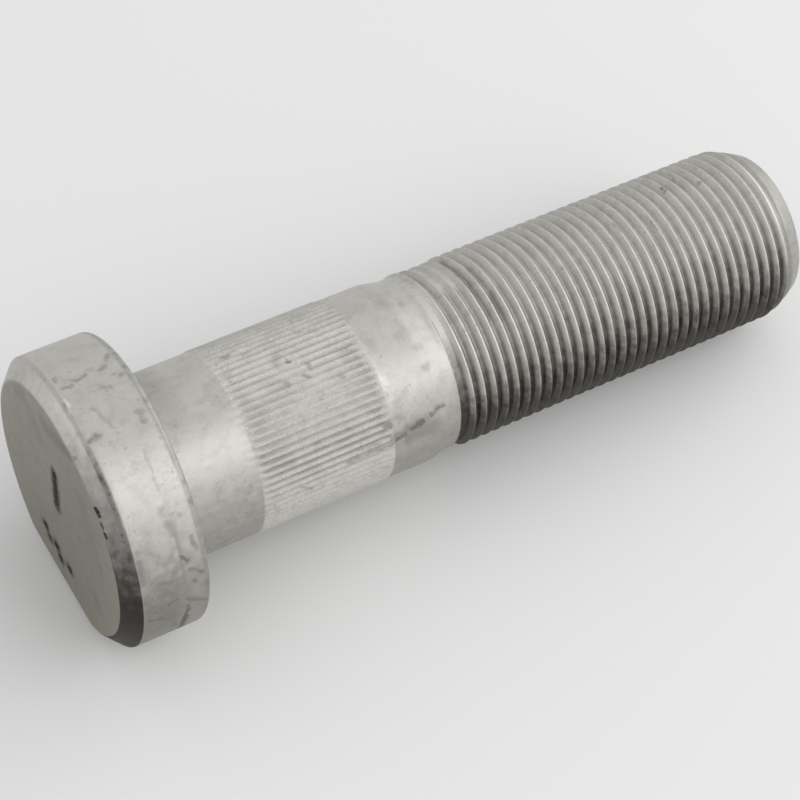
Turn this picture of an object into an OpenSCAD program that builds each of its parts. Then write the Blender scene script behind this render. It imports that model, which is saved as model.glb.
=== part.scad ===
// Truck wheel stud with a flat-sided head, a knurled press section and a fine metric thread.
// The stud's axis runs along +X, from the head to the threaded end.
// The origin is the centre of the head's outer face, and the head's flat side faces down.

/* [Head] */
// Diameter of the round head
head_d = 35.3; // [32:0.1:40]
// Thickness of the head along the axis
head_t = 10.2; // [8:0.1:14]
// Distance from the axis to the flat side that stops the stud from turning
flat_dist = 15.5; // [14.5:0.1:16]
// Width of the outer face's chamfer, measured along the radius
face_chamfer_w = 2; // [1:0.1:2.6]
// Depth of the outer face's chamfer, measured along the axis
face_chamfer_h = 1.8; // [1:0.1:3]
// Radius of the rounded edge on the bearing side of the head
back_edge_r = 0.7; // [0.4:0.1:1.8]
// Radius of the fillet between the head and the shank
under_head_r = 0.8; // [0.4:0.1:1.5]

/* [Shank] */
// Diameter of the plain shank under the head, and of the plain stretch past the knurl
shank_d = 22.4; // [22.2:0.1:24]
// Length of the plain shank, from the head to the knurl
shank_len = 9.9; // [6:0.1:16]

/* [Knurl] */
// Length of the knurl
knurl_len = 17.3; // [10:0.1:24]
// Number of straight teeth around the knurl
knurl_teeth = 75; // [60:1:80]
// How far the teeth stand out of the shank
tooth_rise = 0.1; // [0.05:0.05:0.3]
// Depth of the grooves between the teeth, from the teeth's tops
tooth_depth = 0.4; // [0.25:0.05:0.5]
// Width of the land along the top of each tooth
tooth_land = 0.2; // [0.1:0.05:0.3]
// Width of the floor between two teeth
tooth_gap = 0.15; // [0.1:0.05:0.25]
// Length of the sloped lead at each end of the teeth
tooth_lead = 0.6; // [0.3:0.1:1.5]

/* [Pilot and neck] */
// Length of the plain stretch past the knurl
pilot_len = 5.6; // [3:0.1:10]
// Length of the slope from the plain stretch down to the neck
taper_len = 2.6; // [1:0.1:4]
// How far the neck lies under the thread's crests
neck_drop = 0.3; // [0.1:0.05:0.6]
// Length of the neck
neck_len = 0.8; // [0.4:0.1:3]

/* [Thread] */
// Major diameter of the thread
thread_d = 22; // [20:0.5:22]
// Pitch of the thread
thread_pitch = 1.5; // [1:0.25:2]
// Length from the neck to the end of the stud, with the rounded lead
thread_len = 49.6; // [30:0.1:70]
// Length of the rounded lead at the end of the thread
lead_len = 3.7; // [2:0.1:5]
// How far the end face's edge lies under the thread's crests
lead_drop = 1.7; // [1:0.1:2.5]

/* [Hidden] */

// stations along the axis, counted from the head's outer face
knurl_start = head_t + shank_len;
knurl_end = knurl_start + knurl_len;
pilot_end = knurl_end + pilot_len;
taper_end = pilot_end + taper_len;
thread_start = taper_end + neck_len;
stud_len = thread_start + thread_len;

// radii, from the head to the threaded end
head_r = head_d / 2;
shank_r = shank_d / 2;
tooth_top_r = shank_r + tooth_rise;
tooth_root_r = tooth_top_r - tooth_depth;
thread_r = thread_d / 2;
neck_r = thread_r - neck_drop;

// how many straight steps a rounded edge and the rounded lead take
edge_steps = 8;
lead_steps = 6;
// how far a cutting shape reaches past what it cuts
past = 2;
// a round number of sides for the preview, the real surfaces are true circles
turned_fn = 150;

// metric thread form: 60 degrees between the flanks, and crests an eighth of the pitch wide
thread_depth = 0.6134 * thread_pitch;
thread_root_r = thread_r - thread_depth;
crest_w = thread_pitch / 8;
flank_w = thread_depth * tan(30);
root_w = thread_pitch - crest_w - 2 * flank_w;
// the flank that leads from the neck down to the first root
first_flank_w = (neck_r - thread_root_r) * tan(30);
thread_turns = floor((thread_len - first_flank_w) / thread_pitch);

// share of the lead's drop that is a straight slope, the rest bends it over towards the end face
lead_slope_share = 0.75;

// points of a rounded edge as [radius, station] pairs, its angles counted from the radial direction
function rounded(centre_r, centre_s, r, from, to) = [
    for (i = [0 : edge_steps])
        let (a = from + (to - from) * i / edge_steps)
            [centre_r + r * cos(a), centre_s + r * sin(a)]
];

// one turn of the thread, from the start of its root to the end of its crest
function thread_turn(station) = [
    [thread_root_r, station],
    [thread_root_r, station + root_w],
    [thread_r, station + root_w + flank_w],
    [thread_r, station + root_w + flank_w + crest_w]
];

// radius of the rounded lead at a share of its length
function lead_radius(share) =
    thread_r - lead_drop * share * (lead_slope_share + (1 - lead_slope_share) * share);

// half section of the head, from its outer face to the fillet that joins it to the shank
head_outline = concat(
    [[0, 0], [head_r - face_chamfer_w, 0], [head_r, face_chamfer_h]],
    rounded(head_r - back_edge_r, head_t - back_edge_r, back_edge_r, 0, 90),
    rounded(shank_r + under_head_r, head_t + under_head_r, under_head_r, 270, 180)
);

// half section of the shank, the band that carries the knurl, the pilot and the neck
shank_outline = [
    [shank_r, knurl_start],
    [tooth_top_r, knurl_start + tooth_lead],
    [tooth_top_r, knurl_end - tooth_lead],
    [shank_r, knurl_end],
    [shank_r, pilot_end],
    [neck_r, taper_end],
    [neck_r, thread_start]
];

// half section of the thread, as ridges one pitch apart
thread_outline = concat(
    [for (i = [0 : thread_turns - 1]) each thread_turn(thread_start + first_flank_w + i * thread_pitch)],
    [[thread_r, stud_len], [0, stud_len]]
);

// half section of the room that the rounded lead leaves for the stud
lead_room = concat(
    [[0, -past], [head_r + past, -past], [head_r + past, stud_len - lead_len]],
    [for (i = [0 : lead_steps]) [lead_radius(i / lead_steps), stud_len - lead_len * (1 - i / lead_steps)]],
    [[0, stud_len]]
);

// the whole stud as it would leave a lathe, along +Z
module turned_stud() {
    rotate_extrude($fn = turned_fn)
        intersection() {
            polygon(concat(head_outline, shank_outline, thread_outline));
            polygon(lead_room);
        }
}

// what is missing from the head beyond its flat side, whose edges match those of the round rim
module flat_side() {
    chamfer_run = past * face_chamfer_w / face_chamfer_h;
    rotate([90, 0, 0])
        linear_extrude(height = head_d + 2 * past, center = true)
            polygon(concat(
                [[flat_dist - face_chamfer_w - chamfer_run, -past], [flat_dist, face_chamfer_h]],
                rounded(flat_dist - back_edge_r, head_t - back_edge_r, back_edge_r, 0, 90),
                [[flat_dist - back_edge_r, head_t + past], [head_r + past, head_t + past], [head_r + past, -past]]
            ));
}

// straight grooves that leave the knurl's teeth standing
module knurl_grooves() {
    tooth_pitch = 2 * PI * tooth_top_r / knurl_teeth;
    flank_run = (tooth_pitch - tooth_land - tooth_gap) / 2;
    // each flank is drawn on until both meet in a point above the tooth's land
    point_r = tooth_top_r + tooth_depth * tooth_land / 2 / flank_run;
    half_root = 180 / knurl_teeth - tooth_gap / 2 / tooth_root_r * 180 / PI;
    teeth = [
        for (i = [0 : knurl_teeth - 1])
            let (a = 360 * i / knurl_teeth)
                each [
                    tooth_root_r * [cos(a - half_root), sin(a - half_root)],
                    point_r * [cos(a), sin(a)],
                    tooth_root_r * [cos(a + half_root), sin(a + half_root)]
                ]
    ];
    translate([0, 0, knurl_start])
        linear_extrude(height = knurl_len)
            difference() {
                circle(r = point_r + past, $fn = turned_fn);
                polygon(teeth);
            }
}

module stud() {
    color([0.73, 0.72, 0.69])
        rotate([0, 90, 0])
            difference() {
                turned_stud();
                flat_side();
                knurl_grooves();
            }
}

stud();
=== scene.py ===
# %% [markdown]
# A truck wheel stud: one forging with a flat-sided head, a plain shank, a knurl that bites into the
# hub, a plain pilot and a fine thread that takes the wheel nut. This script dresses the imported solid
# as the real, slightly worn part with its grey coating, lying on a pale floor.
# Blender's lengths are metres here and the sizes below are millimetres, so MM turns one into the
# other. The stud's axis is the X axis, and the head's outer face is at X = 0.

import math

import bmesh
import bpy
from mathutils import Matrix, Vector, noise


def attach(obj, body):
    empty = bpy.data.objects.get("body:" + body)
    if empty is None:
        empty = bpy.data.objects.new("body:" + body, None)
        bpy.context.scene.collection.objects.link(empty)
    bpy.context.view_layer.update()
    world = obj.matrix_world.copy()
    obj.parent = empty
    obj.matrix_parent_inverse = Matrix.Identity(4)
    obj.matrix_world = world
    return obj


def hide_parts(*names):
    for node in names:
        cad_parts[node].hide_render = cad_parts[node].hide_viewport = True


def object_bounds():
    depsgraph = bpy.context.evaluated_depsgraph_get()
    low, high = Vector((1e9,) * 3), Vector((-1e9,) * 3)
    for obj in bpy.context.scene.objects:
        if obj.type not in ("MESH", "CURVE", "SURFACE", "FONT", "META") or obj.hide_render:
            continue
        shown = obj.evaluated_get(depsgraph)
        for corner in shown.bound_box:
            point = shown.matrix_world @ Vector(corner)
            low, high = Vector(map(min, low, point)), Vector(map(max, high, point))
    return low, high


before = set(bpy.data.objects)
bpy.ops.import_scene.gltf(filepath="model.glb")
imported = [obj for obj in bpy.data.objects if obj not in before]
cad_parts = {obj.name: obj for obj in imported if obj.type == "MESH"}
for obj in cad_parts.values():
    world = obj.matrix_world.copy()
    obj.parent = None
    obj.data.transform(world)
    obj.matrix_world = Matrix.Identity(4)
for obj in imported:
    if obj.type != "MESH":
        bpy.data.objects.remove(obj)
cad_low, cad_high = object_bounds()
MM = 0.001
stud_length = cad_high.x
print("stud length in mm:", round(stud_length / MM, 2))

# %% [markdown]
# Sizes of the real stud, in millimetres, as the part's source has them. A turned part is easiest to
# think of as a list of stations along its axis, each with a radius. Named values are used, and not
# measures taken from the solid, because the new mesh is built from them alone and they can be read.

# %% Sizes
HEAD_R = 17.65
HEAD_T = 10.2
FLAT_DIST = 15.5
FACE_CHAMFER_W = 2.0
FACE_CHAMFER_H = 1.8
BACK_EDGE_R = 0.7
UNDER_HEAD_R = 0.8
SHANK_R = 11.2
KNURL_START = 20.1
KNURL_END = 37.4
TOOTH_TOP_R = 11.3
TOOTH_DEPTH = 0.4
TOOTH_LEAD = 0.6
TEETH = 75
PILOT_END = 43.0
TAPER_END = 45.6
THREAD_START = 46.4
THREAD_R = 11.0
NECK_R = 10.7
PITCH = 1.5
# the depth that the metric thread form has for its pitch
THREAD_DEPTH = 0.6134 * PITCH
LEAD_LEN = 3.7
LEAD_DROP = 1.7
LEAD_SLOPE_SHARE = 0.75
STUD_LEN = 96.0
# four steps round the stud for each of the knurl's teeth
STEPS = 4 * TEETH
FULL_TURN = 2 * math.pi
# in millimetres: vertices this near a plane count as in it, and vertices this near each other are merged
NEAR = 0.001
MERGE_WITHIN = 0.0005
print("steps round the stud:", STEPS)

# %% [markdown]
# The camera looks down on the stud from the head's end. It could be aimed by hand in the viewport,
# but its place, direction and lens were fitted to the outline and edges of the object in the
# photograph, so the render can be laid over it.

# %% Camera
CAMERA_PLACE = Vector((-64.857, -153.692, 238.613)) * MM
CAMERA_LOOK = Vector((0.35504, 0.49705, -0.79176))
CAMERA_UP = Vector((0.35635, 0.71104, 0.60617))
LENS = 115.363


def make_camera():
    data = bpy.data.cameras.new("camera")
    data.lens, data.sensor_width = LENS, 36.0
    data.clip_start, data.clip_end = 0.01, 20.0
    camera = bpy.data.objects.new("camera", data)
    back = -CAMERA_LOOK.normalized()
    right = CAMERA_UP.cross(back).normalized()
    up = back.cross(right)
    turn = Matrix((right, up, back)).transposed()
    camera.matrix_world = Matrix.Translation(CAMERA_PLACE) @ turn.to_4x4()
    bpy.context.scene.collection.objects.link(camera)
    bpy.context.scene.camera = camera
    return camera


make_camera()
print("camera at", [round(v, 3) for v in CAMERA_PLACE])

# %% [markdown]
# A round part is easiest to shape in terms of station, radius and angle. The angle is 0 at the top and
# grows towards the camera's side. Anything that fades is eased at both ends, as worn metal is.

# %% Measuring and moving vertices
def smooth_share(value, low, high):
    """How far a value has come from low to high, eased at both ends; high may lie below low."""
    share = min(max((value - low) / (high - low), 0.0), 1.0)
    return share * share * (3 - 2 * share)


def plateau(value, start, full, last, gone):
    """0 outside a stretch, 1 from where it is full to where it is last full, and eased between."""
    return min(smooth_share(value, start, full), smooth_share(value, gone, last))


def around_deg(v):
    """Angle of a vertex round the stud, from -180 to 180."""
    return math.degrees(math.atan2(-v.co.y, v.co.z))


def radius_mm(v):
    return math.hypot(v.co.y, v.co.z) / MM


def set_radius(v, r):
    """Moves a vertex straight in or out to a radius in millimetres."""
    scale = r / radius_mm(v)
    v.co.y *= scale
    v.co.z *= scale


def on_stud(station, around, radius):
    """A point in millimetres, from its station, its angle and its distance from the axis."""
    a = math.radians(around)
    return station, -radius * math.sin(a), radius * math.cos(a)


print("top of the shank:", on_stud(15.0, 0.0, SHANK_R))

# %% [markdown]
# The head isn't a plain disc: one side is forged flat, so that the hub's shoulder can stop the stud
# from turning. A Boolean cut would make the flat, but with sharp corners and long thin faces. So every
# ring of the head is a circle that is pulled in to a straight line on the side that faces down. A
# ring's own straight line lies as far inside its circle as the rim's does.

# %% The head's flat side
FLAT_INSET = HEAD_R - FLAT_DIST
CORNER_BLEND = 0.15
# the cosine of the angle from straight down, past which a ring is surely round
FLAT_BELOW = 0.5


def flat_sided_radius(ring_r, around):
    """Radius of a flat-sided ring at an angle from straight up, with its two corners eased."""
    down = -math.cos(around)
    if down < FLAT_BELOW:
        return ring_r
    line_r = (ring_r - FLAT_INSET) / down
    # the smaller of both radii, with a soft change from one to the other
    circle = math.exp((HEAD_R - ring_r) / CORNER_BLEND)
    line = math.exp((HEAD_R - line_r) / CORNER_BLEND)
    return HEAD_R - CORNER_BLEND * math.log(circle + line)


def head_shape(bm, face_edge_r, seat_inner_r):
    """Moves the head's rings to their flat-sided outline; rings further in follow it less."""
    for v in bm.verts:
        x, r = v.co.x / MM, radius_mm(v)
        if x > HEAD_T + NEAR or r < 10 * NEAR:
            continue
        around = math.atan2(-v.co.y, v.co.z)
        if x < NEAR and r < face_edge_r:
            outline = flat_sided_radius(face_edge_r, around)
            new_r = r * (1 + (outline / face_edge_r - 1) * (r / face_edge_r) ** 2)
        elif x > HEAD_T - NEAR and r < HEAD_R - BACK_EDGE_R:
            edge_r = HEAD_R - BACK_EDGE_R
            share = max(0.0, (r - seat_inner_r) / (edge_r - seat_inner_r))
            new_r = r + (flat_sided_radius(edge_r, around) - edge_r) * share
        else:
            new_r = flat_sided_radius(r, around)
        set_radius(v, new_r)


print("the flat side lies", round(FLAT_INSET, 2), "mm inside the head's circle")

# %% [markdown]
# The half section is drawn once, as a chain of edges above the axis, and spun round the axis, as on a
# lathe. Small arcs stand at every edge, because no edge of a forging is sharp and each catches a thin
# line of light. A Bevel modifier could round them, but in the section each edge has its own radius.

# %% Helpers for a section
def arc(centre_x, centre_r, radius, start, end, steps):
    """Points of an arc as (station, radius), with angles counted from the axis direction."""
    points = []
    for i in range(steps + 1):
        a = math.radians(start + (end - start) * i / steps)
        points.append((centre_x + radius * math.cos(a), centre_r + radius * math.sin(a)))
    return points


def rounded_corner(before, corner, after, reach, steps=3):
    """A corner of the section as a few points on a smooth bend that starts `reach` before the corner."""
    corner, before, after = Vector(corner), Vector(before), Vector(after)
    start = corner + (before - corner).normalized() * reach
    end = corner + (after - corner).normalized() * reach
    points = []
    for i in range(steps + 1):
        t = i / steps
        points.append(tuple(start * (1 - t) ** 2 + corner * 2 * t * (1 - t) + end * t * t))
    return points


def spread(start, end, count):
    """Points between two points, without either of them."""
    a, b = Vector(start), Vector(end)
    return [tuple(a.lerp(b, (i + 1) / (count + 1))) for i in range(count)]


def spin_section(bm, points, advance=0.0, steps=STEPS):
    """Spins (station, radius) points once round the X axis; advance is how far a turn climbs."""
    verts = [bm.verts.new((x * MM, 0.0, r * MM)) for x, r in points]
    edges = [bm.edges.new(pair) for pair in zip(verts, verts[1:])]
    bmesh.ops.spin(
        bm, geom=verts + edges, cent=(0, 0, 0), axis=(1, 0, 0), dvec=(advance / steps * MM, 0, 0),
        angle=FULL_TURN, steps=steps, use_merge=(advance == 0.0), use_duplicate=False)


print("a rounded corner:", rounded_corner((0, 0), (1, 0), (1, 1), 0.5))

# %% [markdown]
# From the face's middle the section runs out over the chamfer, the rim and the back edge, and in again
# down the fillet under the head. It then follows the shank, where it rises to the tops of the knurl's
# teeth, the pilot, the taper and the neck. Plain stretches get rings too, as many as their dents need.

# %% Half section from the head's face to the neck
EDGE_R = 0.22
PILOT_BEND, NECK_BEND = 0.4, 0.3
# rings on the face, as (radius reached, rings on the way); they lie closest where it is punched
FACE_RINGS = [(6.3, 17), (8.0, 1), (11.0, 11)]
FACE_EDGE = (0.0, HEAD_R - FACE_CHAMFER_W)
RIM_EDGE = (FACE_CHAMFER_H, HEAD_R)
face_corner = rounded_corner((0.0, 0.0), FACE_EDGE, RIM_EDGE, EDGE_R)
rim_corner = rounded_corner(FACE_EDGE, RIM_EDGE, (HEAD_T, HEAD_R), EDGE_R)
back_edge = arc(HEAD_T - BACK_EDGE_R, HEAD_R - BACK_EDGE_R, BACK_EDGE_R, 90, 0, 5)
fillet = arc(HEAD_T + UNDER_HEAD_R, SHANK_R + UNDER_HEAD_R, UNDER_HEAD_R, 180, 270, 5)
knurl_in = (KNURL_START + TOOTH_LEAD, TOOTH_TOP_R)
knurl_out = (KNURL_END - TOOTH_LEAD, TOOTH_TOP_R)
half_lead_r = (SHANK_R + TOOTH_TOP_R) / 2
taper_in = (PILOT_END + PILOT_BEND, SHANK_R - 0.06)
taper_out = (TAPER_END - NECK_BEND, NECK_R + 0.05)

section = [(0.0, 0.0)]
for ring_r, count in FACE_RINGS:
    section += spread(section[-1], (0.0, ring_r), count) + [(0.0, ring_r)]
section += spread(section[-1], face_corner[0], 5)
section += face_corner
section += spread(face_corner[-1], rim_corner[0], 4)
section += rim_corner
section += spread(rim_corner[-1], back_edge[0], 12)
section += back_edge
section += spread(back_edge[-1], fillet[0], 4)
section += fillet
section += spread(fillet[-1], (KNURL_START, SHANK_R), 5)
section += [(KNURL_START, SHANK_R), (KNURL_START + TOOTH_LEAD / 2, half_lead_r), knurl_in]
section += spread(knurl_in, knurl_out, 22)
section += [knurl_out, (KNURL_END - TOOTH_LEAD / 2, half_lead_r), (KNURL_END, SHANK_R)]
section += spread((KNURL_END, SHANK_R), (PILOT_END - PILOT_BEND, SHANK_R), 5)
section += rounded_corner((KNURL_END, SHANK_R), (PILOT_END, SHANK_R), (TAPER_END, NECK_R), PILOT_BEND)
section += spread(taper_in, taper_out, 2)
section += rounded_corner((PILOT_END, SHANK_R), (TAPER_END, NECK_R), (THREAD_START, NECK_R), NECK_BEND)
section += [(THREAD_START - 0.2, NECK_R)]
print("rings from the face to the neck:", len(section))

# %% [markdown]
# The knurl has 75 straight teeth that are rolled into the shank. Four mesh columns make one tooth:
# two carry its top and two lie in the groove beside it. The grooves run out softly, a little
# unevenly at the pilot's end, and they are shallower where the knurl is worn: in a few patches, and
# along its low side. They are cut into the mesh and not left to bump, because light runs along every
# tooth and the worn teeth end in a step.

# %% Knurl teeth
COLUMNS_PER_TOOTH = 4
TOP_COLUMNS = (3, 0)
# in millimetres: how far the grooves run in and out, and how unevenly they end
RUN_IN, RUN_OUT, UNEVEN_BY = 1.1, 0.8, 0.7
# wear of the low side: the angles where it starts, is full, is last full and is gone, and its share
LOW_SIDE, LOW_SIDE_WORN = (72, 84, 120, 160), 0.55
GROOVE_SHARE, GROOVE_VARIES_BY = 0.88, 0.4
GROOVES_END = KNURL_END - 0.25
# station, angle, size in millimetres and share of the groove that is worn away
WORN_PATCHES = [
    (22.6, -19, 2.2, 0.5), (25.4, -4, 2.6, 0.4), (28.2, 6, 3, 0.55), (29.5, 28, 6, 0.5), (25.5, 48, 3, 0.3)]


def column(v):
    """Which of the mesh's columns round the stud a vertex is in."""
    return round(math.atan2(-v.co.y, v.co.z) / FULL_TURN * STEPS) % STEPS


def groove_depth(v):
    """Depth of the knurl's grooves at a vertex, in millimetres."""
    x, tooth = v.co.x / MM, column(v) // COLUMNS_PER_TOOTH
    groove_end = GROOVES_END + UNEVEN_BY * noise.noise(Vector((tooth * 0.37, 0.4, 0.8)))
    depth = TOOTH_DEPTH * plateau(x, KNURL_START, KNURL_START + RUN_IN, groove_end - RUN_OUT, groove_end)
    depth *= GROOVE_SHARE + GROOVE_VARIES_BY * noise.noise(v.co / MM * 0.4)
    depth *= 1 - LOW_SIDE_WORN * plateau(around_deg(v), *LOW_SIDE)
    for station, angle, size, worn in WORN_PATCHES:
        away = (v.co / MM - Vector(on_stud(station, angle, SHANK_R))).length
        depth *= 1 - worn * smooth_share(away, size, size * 0.3)
    return depth


def cut_knurl(bm):
    for v in bm.verts:
        on_knurl = KNURL_START + 0.05 < v.co.x / MM < KNURL_END - 0.05
        if on_knurl and column(v) % COLUMNS_PER_TOOTH not in TOP_COLUMNS:
            set_radius(v, radius_mm(v) - groove_depth(v))


print("worn patches on the knurl:", len(WORN_PATCHES))

# %% [markdown]
# A metric thread has flanks at 60 degrees, a round crest and a round root. One turn of it is a short
# section that climbs by one pitch while it is spun round the axis. Copies of that turn, one pitch
# apart, merge into one right-hand helix. Blender's screw modifier could wind it too, but its two ends
# would still have to be shaped. Half as many columns as on the knurl are enough here.

# %% Thread: one turn, and as many copies as the length takes
THREAD_STEPS = STEPS // 2
CREST_AT_TOP = -0.04
FIRST_CREST = THREAD_START - 2 * PITCH + CREST_AT_TOP
THREAD_HEIGHT = PITCH * math.cos(math.radians(30))
CREST_ROUND = THREAD_HEIGHT / 8
ROOT_ROUND = THREAD_HEIGHT / 6
ROOT_R = THREAD_R - THREAD_DEPTH


def turn_section():
    """Section of one turn, from the middle of a crest to the middle of the next."""
    crest = arc(0, THREAD_R - CREST_ROUND, CREST_ROUND, 90, 30, 2)
    root = arc(PITCH / 2, ROOT_R + ROOT_ROUND, ROOT_ROUND, 210, 270, 2)
    half = crest + root
    return half + [(PITCH - x, r) for x, r in reversed(half[:-1])]


def spun_mesh(name, points, advance=0.0, steps=STEPS):
    """A section spun round the axis, as mesh data that can be added to another mesh."""
    bm = bmesh.new()
    spin_section(bm, points, advance, steps)
    mesh = bpy.data.meshes.new(name)
    bm.to_mesh(mesh)
    bm.free()
    return mesh


def add_mesh(bm, mesh, offset=0.0):
    """Adds mesh data to a bmesh, moved along the axis."""
    mesh.transform(Matrix.Translation((offset * MM, 0, 0)))
    bm.from_mesh(mesh)


def long_helix():
    """The helix, longer than the stud's thread at both ends."""
    bm = bmesh.new()
    turn = spun_mesh("turn", turn_section(), PITCH, THREAD_STEPS)
    add_mesh(bm, turn, FIRST_CREST)
    for _ in range(math.ceil((STUD_LEN - FIRST_CREST) / PITCH)):
        add_mesh(bm, turn, PITCH)
    bmesh.ops.remove_doubles(bm, verts=bm.verts, dist=2 * NEAR * MM)
    return bm


print("points in one turn's section:", len(turn_section()))

# %% [markdown]
# The thread doesn't start all at once. Its first groove fades in just under the stud's top, is wide
# and deep on the near side, and a ridge grows out of its floor on the far side. The next few ridges
# have been knocked flat at the top. At the other end the crests shrink over the rounded lead, so that
# a nut can be started. All of it follows from each vertex's station and angle, so nothing has to be
# moved again by hand when a size changes.

# %% Where the thread starts and ends
LEAD_START = STUD_LEN - LEAD_LEN
SMOOTH_LEAD_FROM = LEAD_START + 2.35
START_WALL = 0.12
GROOVE_FADES_IN = (5, 48)
RIDGE_GROWS = (150, 330)
# ridges are knocked flat between these stations and angles, by a share of the way to a radius
KNOCKED_STATIONS, KNOCKED_ANGLES = (48.5, 49.3, 52.1, 52.8), (-85, -62, -14, 4)
KNOCKED_SHARE, KNOCKED_R = 0.82, THREAD_R - 0.27


def lead_radius(x):
    """Radius of the rounded lead at a station."""
    share = min(max((x - LEAD_START) / LEAD_LEN, 0.0), 1.0)
    return THREAD_R - LEAD_DROP * share * (LEAD_SLOPE_SHARE + (1 - LEAD_SLOPE_SHARE) * share)


def first_groove_radius(x, r, around):
    """Radius at a place near the neck, where the first groove and ridge are still incomplete."""
    ridge = THREAD_START + CREST_AT_TOP + PITCH * around / 360
    grown = smooth_share(around, *RIDGE_GROWS)
    if x < ridge + PITCH / 2:
        r = min(r, ROOT_R + (THREAD_R - ROOT_R) * grown)
    if x < ridge:
        floor_r = ROOT_R + (NECK_R - ROOT_R) * grown
        return floor_r if x < ridge - PITCH / 2 else max(r, floor_r)
    if x < ridge + PITCH:
        r = max(r, NECK_R + (ROOT_R - NECK_R) * smooth_share(around, *GROOVE_FADES_IN))
    return r


def knocked_flat(x, around):
    """How far a place is flattened: 0 for not at all, 1 for down to the knocked radius."""
    return KNOCKED_SHARE * min(plateau(x, *KNOCKED_STATIONS), plateau(around, *KNOCKED_ANGLES))


def cut_across(bm, x, **clear):
    """Cuts the mesh with a plane across the axis."""
    everything = bm.verts[:] + bm.edges[:] + bm.faces[:]
    bmesh.ops.bisect_plane(
        bm, geom=everything, dist=1e-7, plane_co=(x * MM, 0, 0), plane_no=(1, 0, 0), **clear)


def make_thread():
    """The helix between its two ends, as a bmesh with one open ring at each end."""
    bm = long_helix()
    cut_across(bm, THREAD_START, clear_inner=True)
    cut_across(bm, THREAD_START + START_WALL)
    cut_across(bm, SMOOTH_LEAD_FROM, clear_outer=True)
    for v in bm.verts:
        x, r = v.co.x / MM, radius_mm(v)
        if x < THREAD_START + NEAR:
            r = NECK_R
        elif x > SMOOTH_LEAD_FROM - NEAR:
            r = lead_radius(x)
        else:
            r = min(first_groove_radius(x, r, around_deg(v) % 360), lead_radius(x))
            r += (KNOCKED_R - r) * knocked_flat(x, around_deg(v))
        set_radius(v, r)
    return bm


thread = make_thread()
print("thread faces:", len(thread.faces))

# %% [markdown]
# Years of handling leave shallow dents on the rim, the knurl and the pilot, and nicks in the thread's
# crests. On its face the stud carries marks punched with a plain bar and a round punch. Each is
# pressed in by moving the vertices near it, deepest in the middle. Sculpting would do as well, but in
# a list each dent can be read and changed.

# %% Dents, nicks and punched marks
# station, angle, size and depth in millimetres
RIM_DENTS = [
    (4.6, -11, 0.9, 0.08), (7.6, -12, 0.8, 0.08), (8.9, -17, 0.8, 0.07), (2.9, 15, 0.9, 0.1),
    (4.6, 9, 1.2, 0.05), (5.2, 30, 1.5, 0.04), (7, 43, 1.2, 0.05), (3.6, 52, 1.4, 0.05),
    (7.4, 68, 0.9, 0.12), (8.4, 75, 1.1, 0.12), (8, 86, 1.2, 0.12), (4.3, 93, 1.4, 0.1),
    (3.8, 82, 1.1, 0.08), (7.1, 104, 1.3, 0.14)]
SHANK_DENTS = [
    (22.7, -19.5, 0.8, 0.09), (28.4, 3, 0.8, 0.1), (27, 15, 0.7, 0.07), (29.6, 15.5, 0.8, 0.07),
    (36.7, 61, 0.8, 0.08), (40.7, 68.5, 0.8, 0.1), (43.1, 63, 0.9, 0.08), (38.1, 72.5, 0.8, 0.08),
    (41.5, 13, 0.8, 0.02), (43.2, 37, 0.8, 0.03)]
CREST_NICKS = [
    (81.8, -17, 0.9, 0.3), (73.6, 0, 0.8, 0.22), (77.3, 8, 0.9, 0.24), (53.1, 12, 0.9, 0.26),
    (54.6, 22, 0.9, 0.2), (86.4, -11, 0.8, 0.2), (64.2, 31, 0.7, 0.18), (69.8, -24, 0.8, 0.2),
    (58.8, -8, 0.7, 0.16), (90.5, 24, 0.7, 0.2)]
# places on the face are (y, z) in millimetres
FACE_BAR = ((0.88, 5.63), (0.51, -0.09))
FACE_DOTS = [(4.07, -8.46), (3.08, -9.64), (1.14, -8.95), (0.15, -10.12), (-2.30, -9.33)]
BAR_HALF_WIDTH, DOT_R, PUNCH_DEPTH = 0.55, 0.65, 0.3


def press_dents(bm, dents, surface_r):
    """Moves the vertices near each dent towards the axis."""
    for station, angle, size, depth in dents:
        middle = Vector(on_stud(station, angle, surface_r)) * MM
        for v in bm.verts:
            if abs(v.co.x - middle.x) < size * MM and (v.co - middle).length < size * MM:
                set_radius(v, radius_mm(v) - depth * smooth_share((v.co - middle).length, size * MM, 0))


def punch_face(bm):
    """Presses the bar and the dots into the head's outer face."""
    top, bottom = [Vector(end) for end in FACE_BAR]
    for v in bm.verts:
        if v.co.x > NEAR * MM:
            continue
        place = Vector((v.co.y, v.co.z)) / MM
        share = min(max((place - top).dot(bottom - top) / (bottom - top).length_squared, 0.0), 1.0)
        press = smooth_share((place - top.lerp(bottom, share)).length, BAR_HALF_WIDTH, 0)
        for dot in FACE_DOTS:
            press = max(press, smooth_share((place - Vector(dot)).length, DOT_R, 0))
        v.co.x += PUNCH_DEPTH * press * MM


print("dents and nicks:", len(RIM_DENTS) + len(SHANK_DENTS) + len(CREST_NICKS))
print("punched dots:", len(FACE_DOTS))

# %% [markdown]
# The head with the shank, the thread and the rounded end are three open shells. Their end rings have
# different numbers of vertices, so they can't merge, and a band of faces bridges each pair. A Boolean
# union would need closed shells that overlap, and would leave slivers along both seams.

# %% Join the stud
def end_section():
    """Half section of the smooth stretch of the lead and of the end face."""
    slope = [SMOOTH_LEAD_FROM + (STUD_LEN - SMOOTH_LEAD_FROM) * i / 4 for i in range(1, 4)]
    slope = [(x, lead_radius(x)) for x in slope]
    edge = rounded_corner(slope[-1], (STUD_LEN, THREAD_R - LEAD_DROP), (STUD_LEN, 0.0), 0.2)
    return slope + edge + spread(edge[-1], (STUD_LEN, 0.0), 3) + [(STUD_LEN, 0.0)]


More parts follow.
